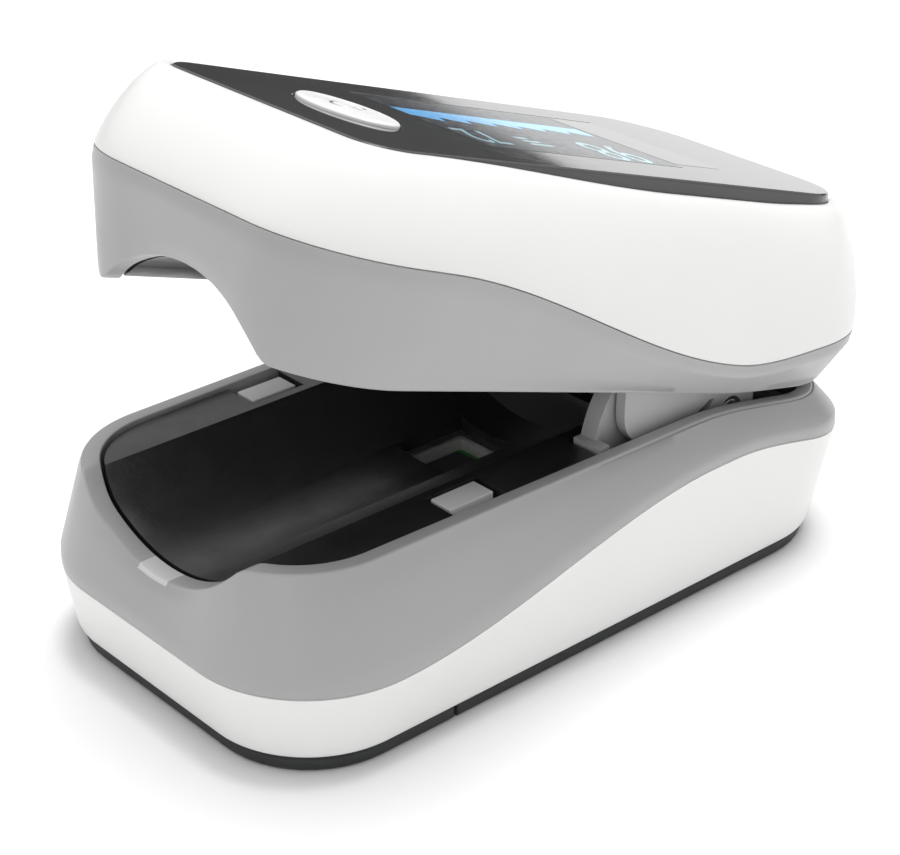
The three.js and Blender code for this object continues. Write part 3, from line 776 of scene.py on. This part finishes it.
def film_text(name, text, height, width_scale, centre, material):
    """Digits of the reading, upright for someone who looks from the left of the finger."""
    data = bpy.data.curves.new(name, "FONT")
    data.body = text
    data.align_x = "CENTER"
    data.align_y = "CENTER"
    data.size = height / DIGIT_HEIGHT_SHARE
    data.extrude = 0.012
    data.resolution_u = 6
    maker = bpy.data.objects.new(name + "_maker", data)
    bpy.context.scene.collection.objects.link(maker)
    bpy.context.view_layer.update()
    mesh = bpy.data.meshes.new_from_object(maker)
    bpy.data.objects.remove(maker)
    place = (
        UPPER
        @ Matrix.Translation((centre[0], centre[1], PANEL_TOP_Z + 0.014))
        @ Matrix.Rotation(-math.pi / 2, 4, "Z")
        @ Matrix.Diagonal((width_scale, 1, 1, 1))
    )
    mesh.transform(place)
    add_piece(name, mesh, "upper_jaw", material)


make_panel_piece()
film("display_ground", [rectangle(-7.6, 7.3, -10.2, 10.5, 0.15)], 0, SCREEN_OFF)
film("display_rear", [rectangle(-7.6, 6.3, 10.7, 16.0, 0.15)], 0, PANEL_LIGHTER)
# Thin light line beside the display's far side: a painted highlight for the reflection at the edge
# of the display's recess.
film("display_edge_painted_highlight", [rectangle(-8.1, -7.93, -10.2, 16.2, 0.05)], 1, PAINTED_EDGE_HIGHLIGHT)
film("pulse_wave", [pulse_wave()], 1, SCREEN_BLUE)
marks = [rectangle(2.6 + 0.9 * i, 3.1 + 0.9 * i, -3.6, -2.2 + 0.5 * i, 0.1) for i in range(3)]
film("display_marks", marks, 1, SCREEN_PALE)
film_text("reading_oxygen", "98", 5.2, 0.68, (4.2, 5.6), SCREEN_PALE)
film_text("reading_pulse", "72", 3.9, 0.62, (3.7, -8.0), SCREEN_PALE)

# ------------------------------------------------------------------ button


def symbol_distance(x, y):
    """Distance in mm from the power symbol: an open ring with a bar in its opening."""
    ring_radius, opening = 1.2, math.radians(38)
    turn = abs(math.atan2(y, x))
    if turn > opening:
        to_ring = abs(math.hypot(x, y) - ring_radius)
    else:
        tip = (ring_radius * math.cos(opening), ring_radius * math.sin(opening))
        to_ring = math.hypot(x - tip[0], abs(y) - tip[1])
    bar_start, bar_end = 0.45, 1.45
    along = min(bar_end, max(bar_start, x))
    to_bar = math.hypot(x - along, y)
    return min(to_ring, to_bar)


def make_button():
    """A crowned oval cap with an engraved power symbol, on a flange that keeps it in."""
    count = 180
    half_x, half_y = BUTTON_HALF
    flange_top = PANEL_TOP_Z - PANEL_THICKNESS - GAP
    shoulder, crown = 0.32, 0.1
    profile = [(-0.9, flange_top - BUTTON_FLANGE), (-0.9, flange_top), (0, flange_top)]
    profile.append((0, BUTTON_TOP_Z - shoulder))
    for i in range(1, 8):
        turn = math.pi / 2 * i / 7
        profile.append((
            shoulder * 1.4 * (1 - math.cos(turn)),
            BUTTON_TOP_Z - crown - (shoulder - crown) * (1 - math.sin(turn)),
        ))
    edge_in, edge_z = profile[-1]
    points, marks = [], []
    loops = 0
    for inward, z in profile:
        for x, y in oval(half_x - inward, half_y - inward, BUTTON_Y, count):
            points.append((x, y, z))
            marks.append(0.0)
        loops += 1
    rings = 64
    for j in range(1, rings):
        f = 1 - j / rings
        z_flat = edge_z + crown * (1 - f * f)
        for x, y in oval((half_x - edge_in) * f, (half_y - edge_in) * f, BUTTON_Y, count):
            # cut sinks the symbol's groove, and through marks it also sets the painted shade in
            # that groove.
            cut = 1 - smooth_step(0.1, 0.17, symbol_distance(x, y - BUTTON_Y))
            points.append((x, y, z_flat - 0.07 * cut))
            marks.append(cut)
        loops += 1
    faces = []
    for j in range(loops - 1):
        for i in range(count):
            a, b = j * count + i, j * count + (i + 1) % count
            faces.append((a, b, b + count, a + count))
    centre = len(points)
    points.append((0, BUTTON_Y, edge_z + crown))
    marks.append(0.0)
    last = (loops - 1) * count
    faces += [(last + i, last + (i + 1) % count, centre) for i in range(count)]
    faces.append(tuple(reversed(range(count))))
    mesh = bpy.data.meshes.new("button_cap")
    mesh.from_pydata([UPPER @ Vector(p) for p in points], [], faces)
    # The engraved attribute carries the painted shade of the symbol's groove.
    attribute = mesh.attributes.new("engraved", "FLOAT", "POINT")
    attribute.data.foreach_set("value", marks)
    add_piece("button_cap", mesh, "button", BUTTON_WHITE, ["power_button"], 50)


make_button()

# ------------------------------------------------------------------ frame round the sensor


def sensor_frame():
    """Light plastic walls that line the sensor's opening in the pad."""
    outer = (2.95, 3.35)
    inner = (2.45, 2.85)
    centre_y = -0.3
    bottom, top = 8.8, 9.7
    points, faces = [], []

    def box_loop(half, z):
        outline = rectangle(-half[0], half[0], -half[1], half[1], 0.25)
        return [(x, centre_y + y, z) for x, y in outline]

    softened = (outer[0] - 0.08, outer[1] - 0.08)
    section = (
        (inner, bottom), (outer, bottom), (outer, top - 0.08),
        (softened, top), (inner, top), (inner, bottom),
    )
    wall([box_loop(half, z) for half, z in section], points, faces)
    mesh = mesh_from("sensor_frame", points, faces, LOWER)
    add_piece("sensor_frame", mesh, "lower_jaw", LIGHT_GREY)


sensor_frame()

# ------------------------------------------------------------------ studio

HORIZON_LIGHT = 0.46
OVERHEAD_LIGHT = 0.82
FLAG_HEIGHT = 0.07
FLAG_HALF_WIDTH = 0.45
FLAG_PLACE = (-0.232, 0.226, 0.0005)
FLAG_TURN = math.radians(48)
FLOOR_HALF_WIDTH = 3


def add_light(name, location, target, size, power):
    """A round soft white light."""
    data = bpy.data.lights.new(name, "AREA")
    data.shape = "DISK"
    data.size = size
    data.energy = power
    light = bpy.data.objects.new(name, data)
    light.location = location
    light.rotation_euler = (Vector(target) - Vector(location)).to_track_quat("-Z", "Y").to_euler()
    bpy.context.scene.collection.objects.link(light)


def add_floor():
    """The plain pale floor."""
    n = Nodes("studio_floor")
    soft = n.to_range(n.noise(180, detail=2), 0, 1)
    n.use("Base Color", n.blend(soft, (0.93, 0.93, 0.93), (0.94, 0.94, 0.94)))
    n.use("Roughness", n.to_range(n.noise(60, detail=2), 0.85, 0.95))
    n.set(Specular_IOR_Level=0.0)
    half = FLOOR_HALF_WIDTH
    corners = [(-half, -half, 0), (half, -half, 0), (half, half, 0), (-half, half, 0)]
    mesh = bpy.data.meshes.new("studio_floor")
    mesh.from_pydata(corners, [], [(0, 1, 2, 3)])
    mesh.materials.append(n.material)
    floor = bpy.data.objects.new("studio_floor", mesh)
    bpy.context.scene.collection.objects.link(floor)


def add_world():
    """Soft white surroundings, brighter overhead. Seen directly, they are plain white."""
    world = bpy.data.worlds.new("studio")
    bpy.context.scene.world = world
    world.use_nodes = True
    nodes, links = world.node_tree.nodes, world.node_tree.links
    background = nodes["Background"]
    background.inputs["Color"].default_value = (1, 1, 1, 1)
    direction = nodes.new("ShaderNodeTexCoord")
    split = nodes.new("ShaderNodeSeparateXYZ")
    links.new(direction.outputs["Generated"], split.inputs["Vector"])
    height = nodes.new("ShaderNodeMapRange")
    height.inputs["From Min"].default_value = 0
    height.inputs["From Max"].default_value = 1
    height.inputs["To Min"].default_value = HORIZON_LIGHT
    height.inputs["To Max"].default_value = OVERHEAD_LIGHT
    links.new(split.outputs["Z"], height.inputs["Value"])
    path = nodes.new("ShaderNodeLightPath")
    seen = nodes.new("ShaderNodeMix")
    links.new(path.outputs["Is Camera Ray"], seen.inputs["Factor"])
    links.new(height.outputs["Result"], seen.inputs["A"])
    seen.inputs["B"].default_value = 1.0
    links.new(seen.outputs["Result"], background.inputs["Strength"])


def add_flag():
    """A dark card behind the object, which darkens what the front of the panel reflects.

    It is hidden from the camera, casts no shadow and takes no soft light away.
    """
    n = Nodes("flag_cloth")
    n.use("Base Color", n.blend(n.noise(20), (0.01, 0.01, 0.01), (0.02, 0.02, 0.02)))
    n.set(Roughness=0.9, Specular_IOR_Level=0.0)
    mesh = bpy.data.meshes.new("flag")
    half, top = FLAG_HALF_WIDTH, FLAG_HEIGHT
    corners = [(-half, 0, 0), (half, 0, 0), (half, 0, top), (-half, 0, top)]
    mesh.from_pydata(corners, [], [(0, 1, 2, 3)])
    mesh.materials.append(n.material)
    flag = bpy.data.objects.new("flag", mesh)
    flag.location = FLAG_PLACE
    flag.rotation_euler = (0, 0, FLAG_TURN)
    flag.visible_camera = False
    flag.visible_diffuse = False
    flag.visible_shadow = False
    bpy.context.scene.collection.objects.link(flag)


def add_camera():
    """The camera stands where the photographer stood, about 180 mm from the object."""
    target = Vector((-6.975, 4.084, 8.0)) * MM
    azimuth, elevation = math.radians(48.364), math.radians(27.449)
    back = Vector((
        math.sin(azimuth) * math.cos(elevation),
        -math.cos(azimuth) * math.cos(elevation),
        math.sin(elevation),
    ))
    data = bpy.data.cameras.new("camera")
    data.sensor_width = 36
    data.lens = 88.49
    data.clip_start = 0.01
    data.clip_end = 20
    camera = bpy.data.objects.new("camera", data)
    camera.location = target + back * 180.64 * MM
    camera.rotation_mode = "QUATERNION"
    camera.rotation_quaternion = (-back).to_track_quat("-Z", "Y")
    bpy.context.scene.collection.objects.link(camera)
    bpy.context.scene.camera = camera


add_floor()
add_world()
add_camera()
add_flag()
add_light("key", (-0.06, 0.14, 0.68), (0, 0, 0.01), 0.34, 3.4)
add_light("front_glow", (0.20, -0.30, 0.10), (0.012, -0.02, 0.01), 0.09, 0.05)
bpy.context.scene.view_settings.view_transform = "Standard"
